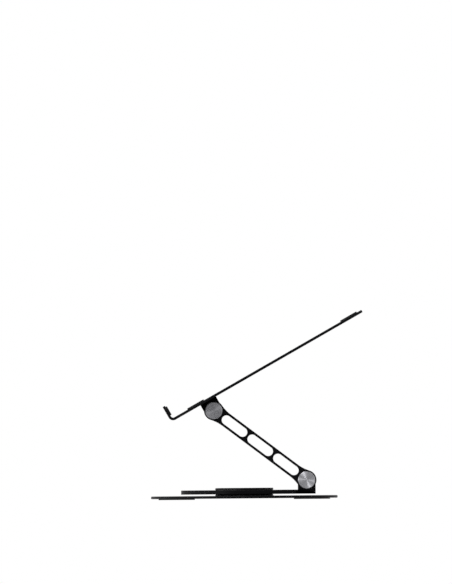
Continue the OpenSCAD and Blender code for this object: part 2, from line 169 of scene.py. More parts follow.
# Clearances around bolts and screws
SEAT_CLEAR = 0.02 * MM
RUN_CLEAR = 0.05 * MM
WASHER_CLEAR = 0.2 * MM

# Countersunk screws: shank diameter, head diameter
FOOT_SCREW = (4 * MM, 7.4 * MM)
CAP_SCREW = (3 * MM, 5.4 * MM)
BRACKET_SCREW = (4 * MM, 7.4 * MM)
SCREW_EDGE = 0.15 * MM
SOCKET_FLATS = 0.5  # across the hexagon, as a share of the shank's diameter
SOCKET_DEPTH = 0.3  # as a share of the shank's diameter

# Roundings that a tool leaves along edges
PLATE_EDGE = 0.3 * MM
TRAY_EDGE = 0.6 * MM
TURNED_EDGE = 0.12 * MM
PAD_EDGE = 0.4 * MM
COUNTERSINK_WEAR = 0.3 * MM
ROUND_END = 0.499  # share of a tab's width that rounds its end, just short of a half circle

# Places worked out from the sizes
ON_TRAY = (
    Matrix.Translation(UPPER)
    @ Matrix.Rotation(TRAY_ANGLE, 4, "X")
    @ Matrix.Translation((0, 0, TRAY_DROP))
)
FRONT_EDGE = FRONT_SETBACK - TRAY_FRONT
LIP_X = HALF_TRAY - LIP_SIDE_MARGIN - LIP_W / 2
PAD_X = HALF_TRAY - PAD_SIDE_MARGIN - PAD_L / 2
BRACKET_SCREW_X = HALF_FRAME - BRACKET_FOOT + BRACKET_SCREW_EDGE
ALONG_X = Matrix.Rotation(math.radians(90), 4, "Y")  # points +Z along +X
SIDES = {"right": Matrix.Identity(4), "left": Matrix.Scale(-1, 4, RIGHT)}

# Fineness: degrees between the points of an arc
ARC_STEP = 3.75
FOOT_STEP = 1.25
FRAME_STEP = 1.5
FLARE_STEP = 2
HUB_STEP = 2.5
SCREW_HOLE_STEP = 7.5

# Fineness: steps in a rounding, and points round a turned body
CORNER_STEPS = 8
FRAME_CORNER_STEPS = 12
TRAY_CORNER_STEPS = 16
BEND_STEPS = 8
EDGE_STEPS = 4
RIM_STEPS = 6
PAD_STEPS = 5
LATHE_STEPS = 3
WASHER_STEPS = 2
THREAD_STEPS = 8  # in one pitch
TURNED_POINTS = 96
LARGE_TURNED_POINTS = 144
SMALL_TURNED_POINTS = 48
SOLE_STEP = 2 * MM

# Nudges against rounding errors
ANGLE_NUDGE = 1e-9
CUT_NUDGE = 1e-7


# ---- Outlines: lists of (x, y), anticlockwise ----


def polar(x, y, radius, degrees):
    angle = math.radians(degrees)
    return (x + radius * math.cos(angle), y + radius * math.sin(angle))


def arc(x, y, radius, start, end, step=ARC_STEP):
    """Points along an arc, from one angle in degrees to the other."""
    count = max(2, math.ceil(abs(end - start) / step))
    return [polar(x, y, radius, start + (end - start) * i / count) for i in range(count + 1)]


def circle(x, y, diameter, step=ARC_STEP):
    return arc(x, y, diameter / 2, 0, 360, step)[:-1]


def stadium(length, width):
    """An outline with full round ends, along X about the origin."""
    reach = (length - width) / 2
    return arc(reach, 0, width / 2, -90, 90) + arc(-reach, 0, width / 2, 90, 270)


def moved(outline, x, y):
    return [(px + x, py + y) for px, py in outline]


def turned_upright(outline):
    return [(-py, px) for px, py in outline]


def rounded(corners, steps=CORNER_STEPS):
    """An outline from corners (x, y, radius), each rounded by its own radius."""
    points = []
    for i, (x, y, radius) in enumerate(corners):
        here = Vector((x, y))
        if not radius:
            points.append((x, y))
            continue
        back = (Vector(corners[i - 1][:2]) - here).normalized()
        ahead = (Vector(corners[(i + 1) % len(corners)][:2]) - here).normalized()
        half = back.angle(ahead) / 2
        centre = here + (back + ahead).normalized() * radius / math.sin(half)
        start = here + back * radius / math.tan(half) - centre
        end = here + ahead * radius / math.tan(half) - centre
        sweep = start.angle_signed(end)
        for k in range(steps + 1):
            # a positive signed angle runs clockwise
            spoke = Matrix.Rotation(-sweep * k / steps, 2) @ start
            points.append(tuple(centre + spoke))
    return points


def mirrored(corners):
    """The left-hand corners (x, y, radius) to match the right-hand ones."""
    return [(-x, y, radius) for x, y, radius in reversed(corners)]


def subdivided(outline, longest):
    """The outline with points added, so that no side is longer than this."""
    points = []
    for i, point in enumerate(outline):
        here, ahead = Vector(point), Vector(outline[(i + 1) % len(outline)])
        count = max(1, math.ceil((ahead - here).length / longest))
        points += [tuple(here.lerp(ahead, k / count)) for k in range(count)]
    return points


# ---- Meshes ----

SHARP = math.radians(38)  # edges at more than this angle stay creased


def quarter_turn(steps):
    """Angles from 0 to 90 degrees."""
    return [math.radians(90 * k / steps) for k in range(steps + 1)]


def quarter_round(radius, low_z, high_z, steps=EDGE_STEPS):
    """An edge profile (inset, height, wear) from the bottom face to the top face.
    wear runs from 0 in the middle of a face to 1 on an edge that gets rubbed."""
    bottom = [
        (radius * (1 - math.sin(a)), low_z + radius * (1 - math.cos(a)), math.sin(2 * a))
        for a in quarter_turn(steps)
    ]
    top = [(inset, low_z + high_z - z, wear) for inset, z, wear in reversed(bottom)]
    return bottom + top


def inward_normals(outline):
    """The direction into the material at each point, scaled for a mitred inset."""
    normals = []
    for i, point in enumerate(outline):
        here = Vector(point)
        before = (here - Vector(outline[i - 1])).normalized()
        after = (Vector(outline[(i + 1) % len(outline)]) - here).normalized()
        first = Vector((-before.y, before.x))
        second = Vector((-after.y, after.x))
        normals.append((first + second) / (1 + first.dot(second)))
    return normals


def slab(loops):
    """A plate. loops holds (outline, edge profile): the outer one first, then its holes."""
    bm = bmesh.new()
    worn = bm.verts.layers.float.new("wear")
    bottom_rims, top_rims = [], []
    for index, (outline, profile) in enumerate(loops):
        points = outline if index == 0 else outline[::-1]
        normals = inward_normals(points)
        rows = []
        for inset, z, wear in profile:
            row = []
            for (x, y), normal in zip(points, normals):
                vert = bm.verts.new((x + inset * normal.x, y + inset * normal.y, z))
                vert[worn] = wear
                row.append(vert)
            rows.append(row)
        join_rows(bm, rows)
        bottom_rims += ring_edges(bm, rows[0])
        top_rims += ring_edges(bm, rows[-1])
    for rims, normal in ((bottom_rims, -UP), (top_rims, UP)):
        bmesh.ops.triangle_fill(bm, use_beauty=True, edges=rims, normal=normal)
    return bm


def join_rows(bm, rows):
    """Faces between rows of points; a row of one point closes the mesh like a cone."""
    for lower, upper in zip(rows, rows[1:]):
        count = max(len(lower), len(upper))
        for i in range(count):
            j = (i + 1) % count
            corners = [lower[i % len(lower)], lower[j % len(lower)]]
            corners += [upper[j % len(upper)], upper[i % len(upper)]]
            corners = list(dict.fromkeys(corners))
            if len(corners) > 2:
                bm.faces.new(corners)


def ring_edges(bm, row):
    return [bm.edges.get((a, b)) for a, b in zip(row, row[1:] + row[:1])]


def turned(rings, points=TURNED_POINTS, closed=False):
    """A body of rings (radius, height, wear) about Z. Radius and height may be functions
    of the angle, and a radius of 0 is the tip. closed joins the last ring to the first."""
    bm = bmesh.new()
    worn = bm.verts.layers.float.new("wear")
    rows = []
    for radius, height, wear in rings:
        row = []
        for i in range(1 if radius == 0 else points):
            angle = 2 * math.pi * i / points
            r = radius(angle) if callable(radius) else radius
            z = height(angle) if callable(height) else height
            row.append(bm.verts.new((r * math.cos(angle), r * math.sin(angle), z)))
            row[-1][worn] = wear
        rows.append(row)
    join_rows(bm, rows + rows[:1] if closed else rows)
    return bm


def lathe(corners, points=TURNED_POINTS, closed=False, steps=LATHE_STEPS):
    """A turned body from an outline of corners (radius, height, rounding)."""
    rings = []
    for i, corner in enumerate(corners):
        radius, height, rounding = corner
        if not rounding:
            rings.append((radius, height, 0))
            continue
        before = (*corners[i - 1][:2], 0)
        after = (*corners[(i + 1) % len(corners)][:2], 0)
        rounding_points = rounded([before, corner, after], steps)[1:-1]
        for k, (radius, height) in enumerate(rounding_points):
            rings.append((radius, height, math.sin(math.pi * k / steps)))
    return turned(rings, points, closed)


def cut_across(bm, point, normal):
    """Adds points where a plane crosses the mesh, so that it can be bent there."""
    everything = bm.verts[:] + bm.edges[:] + bm.faces[:]
    bmesh.ops.bisect_plane(bm, geom=everything, plane_co=point, plane_no=normal, dist=CUT_NUDGE)


def bend_up(bm, start, direction, inner_radius, thickness, tab_from=-math.inf):
    """Bends the sheet past a line through start by 90 degrees, towards +Z.
    Only what lies behind tab_from, in Y, is bent."""
    outer = inner_radius + thickness
    zone = flat_length(inner_radius, thickness)
    for k in range(BEND_STEPS + 1):
        cut_across(bm, start + direction * zone * k / BEND_STEPS, direction)
    for vert in bm.verts:
        along = (vert.co - start).dot(direction)
        if along <= 0 or vert.co.y < tab_from:
            continue
        angle = min(along / zone, 1) * math.pi / 2
        radius = outer - vert.co.z
        shift = radius * math.sin(angle) - along
        vert.co += direction * shift
        vert.co.z = outer - radius * math.cos(angle) + max(along - zone, 0)


def flat_length(inner_radius, thickness):
    """Length of a right-angled bend's middle line, in the flat sheet."""
    return (inner_radius + thickness / 2) * math.pi / 2


def finished(node, bm, place, body, slot):
    """Makes the mesh into a piece that rides on a body and stands for a CAD node."""
    name = f"{node}_detailed"
    bmesh.ops.transform(bm, matrix=place, verts=bm.verts)
    bmesh.ops.recalc_face_normals(bm, faces=bm.faces)
    for edge in bm.edges:
        edge.smooth = len(edge.link_faces) == 2 and edge.calc_face_angle() < SHARP
    for face in bm.faces:
        face.smooth = True
    mesh = bpy.data.meshes.new(name)
    bm.to_mesh(mesh)
    bm.free()
    piece = bpy.data.objects.new(name, mesh)
    bpy.context.scene.collection.objects.link(piece)
    weighted = piece.modifiers.new("even_normals", "WEIGHTED_NORMAL")
    weighted.keep_sharp = True
    mesh.materials.append(MATERIALS[slot])
    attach(piece, body)
    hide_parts(node)


def both_sides(node, bm, place, body, slot):
    """The right-hand piece at its place, and its mirror image on the left."""
    for side, mirror in SIDES.items():
        finished(f"{node}_{side}", bm.copy(), mirror @ place, body, slot)
    bm.free()


# ---- Materials ----

# Colours: the two ends of a material's tone, and what shows where its edges are rubbed
COAT = ((0.0012, 0.0012, 0.0016), (0.0022, 0.0022, 0.0028))
COAT_RUBBED = (0.009, 0.009, 0.0095)
SPUN = ((0.24, 0.24, 0.255), (0.3, 0.3, 0.315))
OXIDE = ((0.018, 0.018, 0.02), (0.034, 0.034, 0.037))
OXIDE_RUBBED = (0.16, 0.16, 0.165)
SPRING = ((0.36, 0.355, 0.35), (0.46, 0.455, 0.45))
NYLON = ((0.008, 0.008, 0.008), (0.014, 0.014, 0.014))
RUBBER = ((0.004, 0.004, 0.004), (0.008, 0.008, 0.008))
DUST = (0.03, 0.029, 0.028)

NOISE_RANGE = (0.3, 0.7)  # most of a noise's values lie between these
TOOL_MARK_SHARE = 1 / 90  # width of a tool mark, as a share of the cap's


def put(tree, socket, value):
    """Links a socket to another node's output, or sets it to a constant."""
    if isinstance(value, bpy.types.NodeSocket):
        tree.links.new(value, socket)
    else:
        socket.default_value = value


def add_node(tree, kind, inputs=None, **settings):
    """A node with its settings, and with its inputs given by name or number."""
    node = tree.nodes.new(kind)
    for key, value in settings.items():
        setattr(node, key, value)
    for socket, value in (inputs or {}).items():
        put(tree, node.inputs[socket], value)
    return node


class Shader:
    """A Principled material with short calls for the nodes that this script uses."""

    def __init__(self, name, **constants):
        self.material = bpy.data.materials.new(name)
        self.material.use_nodes = True
        self.tree = self.material.node_tree
        self.surface = self.tree.nodes["Principled BSDF"]
        for socket, value in constants.items():
            self.set(socket.replace("_", " "), value)
        self.coordinates = self.node("ShaderNodeTexCoord")

    def set(self, socket, value):
        put(self.tree, self.surface.inputs[socket], value)

    def node(self, kind, inputs=None, **settings):
        return add_node(self.tree, kind, inputs, **settings)

    def noise(self, feature, detail, roughness=0.5, coordinates=None):
        """Noise whose features are about this wide: in metres, or as the coordinates say."""
        vector = coordinates or self.coordinates.outputs["Object"]
        inputs = {"Vector": vector, "Scale": 1 / feature, "Detail": detail, "Roughness": roughness}
        return self.node("ShaderNodeTexNoise", inputs).outputs["Fac"]

    def drift(self, target, feature, detail):
        """A value that drifts between two ends over features of this size."""
        return self.remap(self.noise(feature, detail), NOISE_RANGE, target)

    def tone(self, ends, feature, detail):
        """A colour that drifts between two ends over features of this size."""
        return self.blend(self.noise(feature, detail), *ends)

    def remap(self, value, source, target):
        inputs = {"Value": value, "From Min": source[0], "From Max": source[1]}
        inputs.update({"To Min": target[0], "To Max": target[1]})
        return self.node("ShaderNodeMapRange", inputs, clamp=True).outputs["Result"]

    def maths(self, operation, first, second):
        return self.node("ShaderNodeMath", {0: first, 1: second}, operation=operation).outputs[0]

    def blend(self, factor, first, second):
        """A mix of two colours; each is a socket or three numbers."""
        colours = [(*c, 1) if isinstance(c, tuple) else c for c in (first, second)]
        # a colour mix has its colours in sockets 6 and 7, and its result in 2
        inputs = {0: factor, 6: colours[0], 7: colours[1]}
        return self.node("ShaderNodeMix", inputs, data_type="RGBA").outputs[2]

    def bump(self, height, depth, below=None):
        """A bumpy normal, which may lie over another one."""
        inputs = {"Height": height, "Distance": depth, "Strength": 1}
        if below is not None:
            inputs["Normal"] = below
        return self.node("ShaderNodeBump", inputs).outputs["Normal"]

    def wear(self, feature=2 * MM, fade=(0.42, 0.62)):
        """Patches of wear along the edges, from 0 to 1. They fade in over part of a noise."""
        edge = self.node("ShaderNodeAttribute", attribute_name="wear").outputs["Fac"]
        patches = self.remap(self.noise(feature, detail=4), fade, (0, 1))
        return self.maths("MULTIPLY", edge, patches)


def powder_coat():
    """Satin black powder coat on steel, with a fine orange peel; rubbed edges shine more."""
    s = Shader("black_steel", IOR=1.5, Specular_IOR_Level=0.045)
    worn = s.wear()
    s.set("Base Color", s.blend(worn, s.tone(COAT, 14 * MM, detail=2), COAT_RUBBED))
    satin = s.drift((0.4, 0.48), 6 * MM, detail=3)
    s.set("Roughness", s.maths("SUBTRACT", satin, s.maths("MULTIPLY", worn, 0.1)))
    peel = s.bump(s.noise(1.4 * MM, detail=2), 0.006 * MM)
    s.set("Normal", s.bump(s.noise(0.3 * MM, detail=2), 0.001 * MM, peel))
    return s.material


def spun_aluminium():
    """Bare aluminium turned on a lathe: rings of fine tool marks, and streaks along them."""
    s = Shader("spun_aluminium", Metallic=1, Anisotropic=0.95, Anisotropic_Rotation=0.25)
    axes = s.node("ShaderNodeSeparateXYZ", {0: s.coordinates.outputs["Generated"]})
    across = [s.maths("SUBTRACT", axes.outputs[name], 0.5) for name in ("Y", "Z")]
    squares = [s.maths("MULTIPLY", value, value) for value in across]
    radius = s.maths("SQRT", s.maths("ADD", *squares), 0)
    ring = s.node("ShaderNodeCombineXYZ", {"X": radius}).outputs[0]
    tool_marks = s.noise(TOOL_MARK_SHARE, detail=4, roughness=0.7, coordinates=ring)
    s.set("Base Color", s.blend(tool_marks, *SPUN))
    s.set("Roughness", s.drift((0.42, 0.48), 4 * MM, detail=3))
    s.set("Normal", s.bump(tool_marks, 0.0005 * MM))
    radial = s.node("ShaderNodeTangent", direction_type="RADIAL", axis="X")
    s.set("Tangent", radial.outputs[0])
    return s.material


def black_oxide():
    """Blackened steel fasteners, rubbed brighter along their edges."""
    s = Shader("black_oxide", Metallic=1)
    s.set("Base Color", s.blend(s.wear(1 * MM), s.tone(OXIDE, 3 * MM, detail=3), OXIDE_RUBBED))
    s.set("Roughness", s.drift((0.3, 0.42), 2 * MM, detail=3))
    s.set("Normal", s.bump(s.noise(0.25 * MM, detail=2), 0.004 * MM))
    return s.material


def spring_steel():
    """Bare, tempered steel with a faint straw tint."""
    s = Shader("spring_steel", Metallic=1)
    s.set("Base Color", s.tone(SPRING, 4 * MM, detail=3))
    s.set("Roughness", s.drift((0.24, 0.36), 1 * MM, detail=3))
    s.set("Normal", s.bump(s.noise(0.2 * MM, detail=2), 0.003 * MM))
    return s.material


def nylon():
    """Moulded black nylon with a fine matt grain."""
    s = Shader("nylon", IOR=1.53)
    s.set("Base Color", s.tone(NYLON, 3 * MM, detail=2))
    s.set("Roughness", s.drift((0.5, 0.6), 1 * MM, detail=2))
    s.set("Normal", s.bump(s.noise(0.15 * MM, detail=2), 0.01 * MM))
    return s.material


def rubber():
    """Matt black silicone rubber, with a little dust on its edges."""
    s = Shader("rubber", IOR=1.41, Specular_IOR_Level=0.15, Sheen_Weight=0.03)
    dusty = s.wear(1.5 * MM, fade=(0.45, 0.75))
    s.set("Base Color", s.blend(dusty, s.tone(RUBBER, 8 * MM, detail=4), DUST))
    s.set("Roughness", s.drift((0.68, 0.84), 2 * MM, detail=3))
    s.set("Normal", s.bump(s.noise(0.2 * MM, detail=3), 0.02 * MM))
    return s.material


MATERIALS = {
    "black_steel": powder_coat(),
    "spun_aluminium": spun_aluminium(),
    "black_oxide": black_oxide(),
    "spring_steel": spring_steel(),
    "nylon": nylon(),
    "rubber": rubber(),
}


# ---- Fasteners ----


def hexagon(flats, corner=0):
    """Radius of a hexagon at an angle, with a corner at the given one."""
    sixth = math.pi / 3

    def radius(angle):
        past_corner = (angle - corner + ANGLE_NUDGE) % sixth
        return flats / 2 / math.cos(past_corner - sixth / 2)

    return radius


def countersunk_screw(bm, screw, length, place):
    """A flat-head screw with a hexagon socket: its face is at Z = 0."""
    shank_d, head_d = screw
    head_t = (head_d - shank_d) / 2
    depth = SOCKET_DEPTH * shank_d
    socket = hexagon(SOCKET_FLATS * shank_d)
    mouth = hexagon(SOCKET_FLATS * shank_d + 2 * SCREW_EDGE)
    rings = [
        (0, -depth - 2 * SCREW_EDGE, 0),
        (socket, -depth, 0),
        (socket, -SCREW_EDGE, 0.6),
        (mouth, 0, 0.6),
        (head_d / 2 - SCREW_EDGE, 0, 0),
        (head_d / 2, -SCREW_EDGE, 1),
        (shank_d / 2, -head_t, 0),
        (shank_d / 2, -length, 0),
        (0, -length, 0),
    ]
    one = turned(rings, SMALL_TURNED_POINTS)
    bmesh.ops.transform(one, matrix=place, verts=one.verts)
    mesh = bpy.data.meshes.new("screw")
    one.to_mesh(mesh)
    one.free()
    bm.from_mesh(mesh)
    bpy.data.meshes.remove(mesh)


def screw_group(screw, length, places):
    """Several screws of one kind in one mesh."""
    bm = bmesh.new()
    for place in places:
        countersunk_screw(bm, screw, length, place)
    return bm


def countersunk_hole(screw, low_z, high_z):
    """Edge profile of a hole whose countersink opens at the top face."""
    sink = (screw[1] - screw[0]) / 2
    return [
        (0, low_z, 0),
        (0, high_z - sink, 0),
        (sink, high_z, 0.5),
        (sink + COUNTERSINK_WEAR, high_z, 0),
    ]


def screw_holes(screw, points, profile):
    """Loops for a slab: holes for screws of one kind, at points (x, y)."""
    diameter = screw[0] + 2 * SEAT_CLEAR
    return [(circle(x, y, diameter, SCREW_HOLE_STEP), profile) for x, y in points]


def hub_screw_points(phase):
    """Where the turntable's screws are: a ring of them, the first one at an angle."""
    turns = [phase + i * 360 / HUB_SCREW_N for i in range(HUB_SCREW_N)]
    return [polar(0, 0, HUB_SCREW_RING, turn) for turn in turns]


def hub_screws(node, screw, phase, z, turn):
    """A ring of screws whose faces lie at a height, each turned face up or face down."""
    places = [Matrix.Translation((x, y, z)) @ turn for x, y in hub_screw_points(phase)]
    return screw_group(screw, span(node).z, places)


# ---- Foot and turntable ----


def foot_plate():
    bottom, top = low("foot_plate").z, high("foot_plate").z
    rim = quarter_round(FOOT_RIM_R, bottom, top, RIM_STEPS)
    sink = countersunk_hole(FOOT_SCREW, bottom, top)
    # the countersinks open downwards, so the hole's profile is turned over
    sink = [(inset, bottom + top - z, wear) for inset, z, wear in reversed(sink)]
    outline = circle(0, 0, min(span("foot_plate").xy), FOOT_STEP)
    return slab([(outline, rim)] + screw_holes(FOOT_SCREW, hub_screw_points(FOOT_PHASE), sink))


def foot_pad():
    """The pad in the quadrant of +X and +Y: a rounded strip, wrapped round the axis."""
    middle_r = span("foot_plate").x / 2 - SOLE_INSET - SOLE_W / 2
    length = middle_r * math.radians(SOLE_ARC)
    half = SOLE_W / 2
    corners = [(0, -half), (length, -half), (length, half), (0, half)]
    strip = subdivided(rounded([(x, y, SOLE_CORNER_R) for x, y in corners]), SOLE_STEP)
    outline = [
        polar(0, 0, middle_r + y, 90 - SOLE_START - SOLE_ARC + math.degrees(x / middle_r))
        for x, y in strip
    ]
    profile = quarter_round(PAD_EDGE, 0, span("foot_pad_rear_right").z)
    # (x, y) to (angle, radius) turns an outline over, so it is read backwards
    return slab([(outline[::-1], profile)])


def spindle():
    """A flange that is screwed to the foot plate, and the pin that the frame turns on."""
    bottom, top = low("spindle").z, high("spindle").z
    flange_top = low("lower_thrust_washer").z
    flange_r = span("spindle").x / 2
    corners = [
        (0, bottom, 0),
        (flange_r, bottom, TURNED_EDGE),
        (flange_r, flange_top, FLANGE_EDGE),
        (SPINDLE_D / 2, flange_top, 0),
        (SPINDLE_D / 2, top, 0),
        (0, top, 0),
    ]
    return lathe(corners, LARGE_TURNED_POINTS)


def flat_washer(outer_d, bore_d, thickness):
    edge = min(TURNED_EDGE, thickness / 4)
    corners = [
        (bore_d / 2, 0, edge),
        (outer_d / 2, 0, edge),
        (outer_d / 2, thickness, edge),
        (bore_d / 2, thickness, edge),
    ]
    return lathe(corners, closed=True, steps=WASHER_STEPS)


def hub_cap():
    """The disc on top of the turntable, chamfered round its upper edge."""
    bottom, top = low("hub_cap").z, high("hub_cap").z
    rim = [
        (HUB_EDGE, bottom, 0),
        (0, bottom + HUB_EDGE, 0),
        (0, top - HUB_CHAMFER - HUB_EDGE, 0),
        (HUB_EDGE / 2, top - HUB_CHAMFER, 1),
        (HUB_CHAMFER - HUB_EDGE / 2, top - HUB_EDGE / 2, 1),
        (HUB_CHAMFER + HUB_EDGE, top, 0),
    ]
    outline = circle(0, 0, span("hub_cap").x, HUB_STEP)
    sink = countersunk_hole(CAP_SCREW, bottom, top)
    return slab([(outline, rim)] + screw_holes(CAP_SCREW, hub_screw_points(CAP_PHASE), sink))


def make_foot_and_turntable():
    here = Matrix.Identity(4)
    turned_over = Matrix.Rotation(math.pi, 4, "X")
    finished("foot_plate", foot_plate(), here, "base", "black_steel")
    for end, flip in (("rear", here), ("front", Matrix.Scale(-1, 4, REAR))):
        both_sides(f"foot_pad_{end}", foot_pad(), flip, "base", "rubber")
    finished("spindle", spindle(), here, "base", "black_oxide")
    finished("hub_cap", hub_cap(), here, "base", "black_steel")
    for node in ("lower_thrust_washer", "upper_thrust_washer"):
        washer = flat_washer(span(node).x, SPINDLE_D + 2 * WASHER_CLEAR, span(node).z)
        finished(node, washer, Matrix.Translation((0, 0, low(node).z)), "base", "nylon")
    face = low("foot_screws").z
    screws = hub_screws("foot_screws", FOOT_SCREW, FOOT_PHASE, face, turned_over)
    finished("foot_screws", screws, here, "base", "black_oxide")
    face = high("hub_cap_screws").z
    screws = hub_screws("hub_cap_screws", CAP_SCREW, CAP_PHASE, face, here)
    finished("hub_cap_screws", screws, here, "base", "black_oxide")


# ---- Swivelling frame ----


def frame_plate():
    """The flat pattern, with a tab on each side that is then bent up into an ear."""
    rear = high("frame_plate").y
    fold = HALF_FRAME - EAR_BEND_R - FRAME_T
    zone = flat_length(EAR_BEND_R, FRAME_T)
    pivot = fold + zone + LOWER.z - low("frame_plate").z - EAR_BEND_R - FRAME_T
    tip = pivot + EAR_W / 2
    notch = rear - EAR_W - EAR_RELIEF
    right = [
        (HALF_FRAME, 0, 0),
        (HALF_FRAME, notch, FRAME_CORNER_R),
        (fold, notch, RELIEF_CORNER_R),
        (fold, rear - EAR_W, RELIEF_CORNER_R),
        (tip, rear - EAR_W, ROUND_END * EAR_W),
        (tip, rear, ROUND_END * EAR_W),
    ]
    sides = rounded(right + mirrored(right), FRAME_CORNER_STEPS)
    outline = sides + arc(0, 0, HALF_FRAME, 180, 360, FRAME_STEP)[1:-1]
    profile = quarter_round(PLATE_EDGE, 0, FRAME_T)
    holes = [(circle(0, 0, SPINDLE_D + 2 * RUN_CLEAR), profile)]
    for x in (-pivot, pivot):
        holes.append((circle(x, rear - EAR_W / 2, BOLT_D + 2 * SEAT_CLEAR), profile))
    bm = slab([(outline, profile)] + holes)
    for outwards in (RIGHT, -RIGHT):
        bend_up(bm, fold * outwards, outwards, EAR_BEND_R, FRAME_T, notch + EAR_RELIEF / 2)
    return bm


def make_frame():
    place = Matrix.Translation((0, 0, low("frame_plate").z))
    finished("frame_plate", frame_plate(), place, "swivel_frame", "black_steel")


# ---- Arms ----


def arm_outline(length):
    """Two rings, joined to the straight arm by arcs that touch both."""
    across = ARM_W / 2 + FLARE_R
    reach = ARM_RING_D / 2 + FLARE_R
    along = math.sqrt(reach * reach - across * across)
    lean = math.degrees(math.atan2(across, along))
    ring_r = ARM_RING_D / 2
    points = arc(0, 0, ring_r, lean, 360 - lean)
    points += arc(along, -across, FLARE_R, 180 - lean, 90, FLARE_STEP)[1:]
    points += arc(length - along, -across, FLARE_R, 90, lean, FLARE_STEP)
    points += arc(length, 0, ring_r, lean - 180, 180 - lean)[1:]
    points += arc(length - along, across, FLARE_R, -lean, -90, FLARE_STEP)[1:]
    points += arc(along, across, FLARE_R, -90, lean - 180, FLARE_STEP)[:-1]
    return points


def arm():
    """An arm along X from its lower pivot, with a row of slots."""
    length = (UPPER - LOWER).length
    thickness = span("arm_right").x
    slot_l = (length - 2 * SLOT_LAND - (SLOT_N - 1) * SLOT_WEB) / SLOT_N
    profile = quarter_round(PLATE_EDGE, 0, thickness)
    loops = [(arm_outline(length), profile)]
    for i in range(SLOT_N):
        middle = SLOT_LAND + slot_l / 2 + i * (slot_l + SLOT_WEB)
        loops.append((moved(stadium(slot_l, SLOT_W), middle, 0), profile))
    for x in (0, length):
        loops.append((circle(x, 0, BOLT_D + 2 * RUN_CLEAR), profile))
    return slab(loops)


def make_arms():
    along = (UPPER - LOWER).normalized()
    across = RIGHT.cross(along)
    axes = Matrix((along, across, RIGHT)).transposed().to_4x4()
    place = Matrix.Translation((low("arm_right").x, LOWER.y, LOWER.z)) @ axes
    both_sides("arm", arm(), place, "arms", "black_steel")


# ---- Pivot hardware, drawn along +Z from the face that it lies on ----


def thread_row(z, tip):
    """Radius of the thread at the angles of the row at height z, chamfered near the tip."""
    chamfered = BOLT_D / 2 - max(0, BOLT_CHAMFER - (z - tip))

    def radius(angle):
        phase = (z / THREAD_PITCH + angle / (2 * math.pi)) % 1
        depth = THREAD_DEPTH * (1 - abs(2 * phase - 1))
        return min(BOLT_D / 2 - depth, chamfered)

    return radius


def pivot_bolt(shank):
    """Head up from Z = 0, and a shank down to its chamfered, threaded end."""
    head_r, radius = BOLT_HEAD_D / 2, BOLT_D / 2
    thread_top = THREAD_L - shank
    rings = [
        (0, BOLT_HEAD_T, 0),
        (head_r - BOLT_HEAD_EDGE, BOLT_HEAD_T, 0),
        (head_r, BOLT_HEAD_T - BOLT_HEAD_EDGE, 1),
        (head_r, 0, 0),
        (radius, 0, 0),
        (radius, thread_top, 0),
    ]
    step = THREAD_PITCH / THREAD_STEPS
    for k in range(1, int(THREAD_L / step)):
        z = thread_top - k * step
        rings.append((thread_row(z, -shank), z, 0))
    rings.append((radius - BOLT_CHAMFER, -shank, 0.5))
    rings.append((0, -shank, 0))
    return turned(rings, SMALL_TURNED_POINTS)


def pivot_cap():
    """A turned cap: a smooth rim, shallow tool marks round its outer face, and a hollow
    for the bolt's head."""
    radius = span("lower_cap_right").y / 2
    height = span("lower_cap_right").x
    hollow_r = BOLT_HEAD_D / 2 + SEAT_CLEAR
    rings = [
        (0, BOLT_HEAD_T, 0),
        (hollow_r, BOLT_HEAD_T, 0),
        (hollow_r, 0, 0),
        (radius - 2 * CAP_EDGE, 0, 0),
        (radius, 2 * CAP_EDGE, 0),
        (radius, height - CAP_CHAMFER - CAP_EDGE, 0),
        (radius - CAP_EDGE / 2, height - CAP_CHAMFER, 0),
        (radius - CAP_CHAMFER, height - CAP_EDGE / 2, 0),
        (radius - CAP_CHAMFER - CAP_EDGE, height, 0),
    ]
    face_r = radius - CAP_CHAMFER - 2 * CAP_EDGE
    for k in range(int(face_r / TOOL_MARK_PITCH)):
        ridge_r = face_r - k * TOOL_MARK_PITCH
        rings.append((ridge_r, height, 0))
        rings.append((ridge_r - TOOL_MARK_PITCH / 2, height - TOOL_MARK_DEPTH, 0))
    rings.append((0, height - TOOL_MARK_DEPTH, 0))
    return turned(rings, LARGE_TURNED_POINTS)


def pivot_washer():
    node = "lower_washer_right"
    return flat_washer(span(node).y, BOLT_D + 2 * WASHER_CLEAR, span(node).x)


def pivot_spring():
    """A disc spring, which is a shallow cone."""
    radius, height = span("lower_spring_right").y / 2, span("lower_spring_right").x
    bore = BOLT_D / 2 + WASHER_CLEAR
    corners = [
        (radius, 0, TURNED_EDGE),
        (radius, SPRING_T, TURNED_EDGE),
        (bore, height, TURNED_EDGE),
        (bore, height - SPRING_T, TURNED_EDGE),
    ]
    return lathe(corners, closed=True, steps=WASHER_STEPS)


def pivot_nut():
    """A hexagon nut with the usual 30-degree chamfers, which leave arcs on its flats."""
    thickness = span("lower_nut_right").x
    outside = hexagon(NUT_FLATS, math.pi / 2)
    seat = NUT_SEAT_D / 2
    bore = BOLT_D / 2 + SEAT_CLEAR

    def chamfer(angle):
        return (outside(angle) - seat) * math.tan(NUT_CHAMFER)

    rings = [
        (bore, NUT_LEAD, 0),
        (bore + NUT_LEAD, 0, 0),
        (seat, 0, 0),
        (outside, chamfer, 0.7),
        (outside, lambda angle: thickness - chamfer(angle), 0.7),
        (seat, thickness, 0),
        (bore + NUT_LEAD, thickness, 0),
        (bore, thickness - NUT_LEAD, 0),
    ]
    return turned(rings, closed=True)


